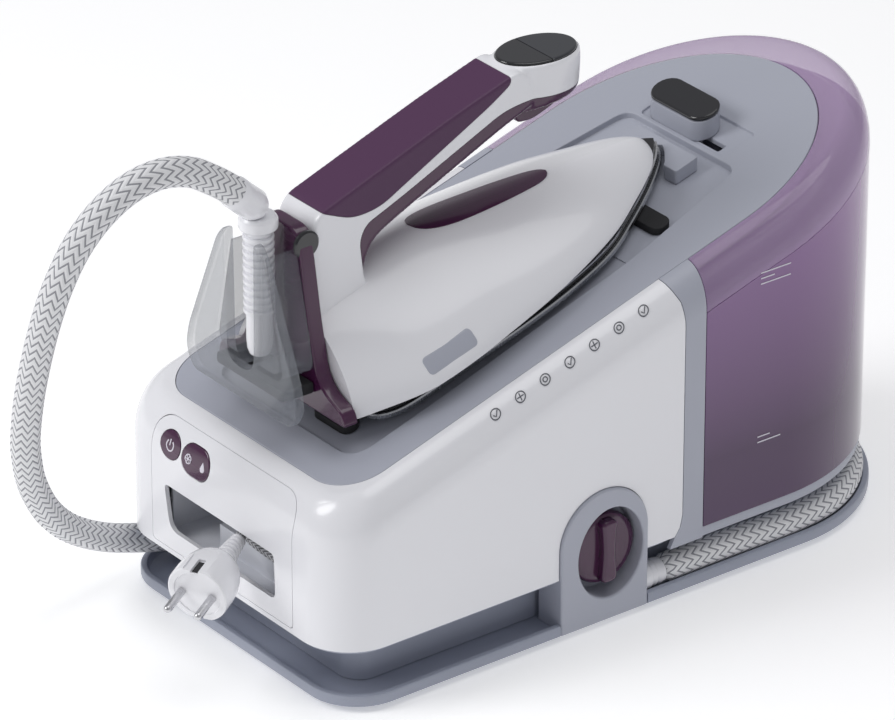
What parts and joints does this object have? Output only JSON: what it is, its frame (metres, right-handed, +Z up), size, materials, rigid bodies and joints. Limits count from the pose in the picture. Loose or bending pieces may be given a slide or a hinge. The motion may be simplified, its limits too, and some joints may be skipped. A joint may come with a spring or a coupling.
{
  "type": "steam generator iron",
  "caption": "Steam generator ironing station with a purple lift-out water tank, a sloping deck and a soleplate iron joined to it by a braided hose, with its mains lead and plug.",
  "frame": {"origin": "middle of the station's footprint, on the surface it stands on", "axes": "+X to the station's right side, where the rinse knob is; -Y to its front, where the buttons and the mains cord compartment are; +Y to the water tank; +Z up"},
  "size_m": [0.22, 0.5538, 0.3255],
  "materials": {
    "white_plastic": "smooth glossy white casing",
    "grey_plastic": "satin light grey casing",
    "tray_grey": "satin blue grey base",
    "plum_plastic": "glossy dark plum",
    "grip_plastic": "soft satin purple grip",
    "black_plastic": "glossy black",
    "black_rubber": "matte black rubber",
    "steel": "brushed",
    "aluminium": "satin cast and ground",
    "copper": "drawn copper and brass",
    "board_green": "lacquered circuit board",
    "tank_plastic": "clear purple plastic",
    "smoke_plastic": "clear smoke plastic",
    "hose_braid": "woven white and grey braid",
    "cord_braid": "woven dark and silver braid",
    "pipe_rubber": "milky silicone pipe"
  },
  "bodies": {
    "station": {"base_tray": "tray_grey", "base_tub": "tray_grey", "boiler": "steel", "boiler_heater": "copper", "control_board": "board_green", "cord_compartment": "grey_plastic", "feed_pipe": "pipe_rubber", "foot_front_left": "black_rubber", "foot_front_right": "black_rubber", "foot_rear_left": "black_rubber", "foot_rear_right": "black_rubber", "front_panel": "white_plastic", "hose_gland": "white_plastic", "knob_plate": "grey_plastic", "main_shell": "white_plastic", "mains_gland": "black_plastic", "mains_hank": "cord_braid", "mains_lead": "cord_braid", "plug_body": "white_plastic", "plug_pin_lower": "steel", "plug_pin_upper": "steel", "plug_relief": "white_plastic", "pump_mount": "black_rubber", "rear_frame": "grey_plastic", "rest_pad_front_left": "black_rubber", "rest_pad_front_right": "black_rubber", "rest_pad_rear_left": "black_rubber", "rest_pad_rear_right": "black_rubber", "steam_hose": "hose_braid", "steam_pipe": "pipe_rubber", "steam_valve": "copper", "top_cover": "grey_plastic", "water_pipe": "pipe_rubber", "water_pump": "black_plastic"},
    "iron": {"soleplate": "aluminium", "sole_skirt": "black_plastic", "heater_block": "aluminium", "iron_shell": "white_plastic", "body_inset": "plum_plastic", "side_badge": "grey_plastic", "handle_core": "white_plastic", "handle_grip": "grip_plastic", "handle_strip": "plum_plastic", "display_lens": "black_plastic", "heel_cover": "plum_plastic", "heel_stand": "smoke_plastic", "heel_bar": "black_rubber", "cord_boot": "white_plastic", "temperature_sensor": "copper"},
    "tank": {"water_tank": "tank_plastic", "tank_lid": "tank_plastic", "tank_valve": "black_plastic"},
    "lock_latch": {"lock_slider": "grey_plastic", "lock_slider_cap": "black_plastic"},
    "tongue": {"lock_tongue": "grey_plastic"},
    "rinse_plug": {"rinse_knob": "plum_plastic"},
    "power_key": {"power_button": "plum_plastic"},
    "clean_key": {"clean_button": "plum_plastic"},
    "display_key": {"mode_key": "black_plastic"},
    "trigger": {"steam_trigger": "plum_plastic"}
  },
  "joints": [
    {"name": "iron_lift", "type": "slide", "parent": "station", "child": "iron", "axis": [0, -0.2924, 0.9563], "range_m": [0, 0.06], "deforming": ["steam_hose"]},
    {"name": "tank_slide", "type": "slide", "parent": "station", "child": "tank", "axis": [0, 1, 0], "range_m": [0, 0.2]},
    {"name": "lock_slide", "type": "slide", "parent": "station", "child": "lock_latch", "axis": [1, 0, 0], "range_m": [0, 0.018]},
    {"name": "tongue_slide", "type": "slide", "parent": "station", "child": "tongue", "axis": [0, 0.9563, 0.2924], "range_m": [0, 0.009]},
    {"name": "rinse_turn", "type": "hinge", "parent": "station", "child": "rinse_plug", "pos_m": [0.1, -0.0292, 0.046], "axis": [1, 0, 0], "range_deg": [0, 90]},
    {"name": "power_press", "type": "slide", "parent": "station", "child": "power_key", "axis": [0, 1, 0], "range_m": [0, 0.002], "stiffness_N_per_m": 300, "springref_m": -0.001},
    {"name": "clean_press", "type": "slide", "parent": "station", "child": "clean_key", "axis": [0, 1, 0], "range_m": [0, 0.002], "stiffness_N_per_m": 300, "springref_m": -0.001},
    {"name": "mode_press", "type": "slide", "parent": "iron", "child": "display_key", "axis": [0, 0, -1], "range_m": [0, 0.0012], "stiffness_N_per_m": 400, "springref_m": -0.0006},
    {"name": "trigger_pull", "type": "slide", "parent": "iron", "child": "trigger", "axis": [0, -0.2924, 0.9563], "range_m": [0, 0.003], "stiffness_N_per_m": 300, "springref_m": -0.002}
  ],
  "couplings": [
    {"joint": "tongue_slide", "follows": "lock_slide", "ratio": 0.5}
  ]
}
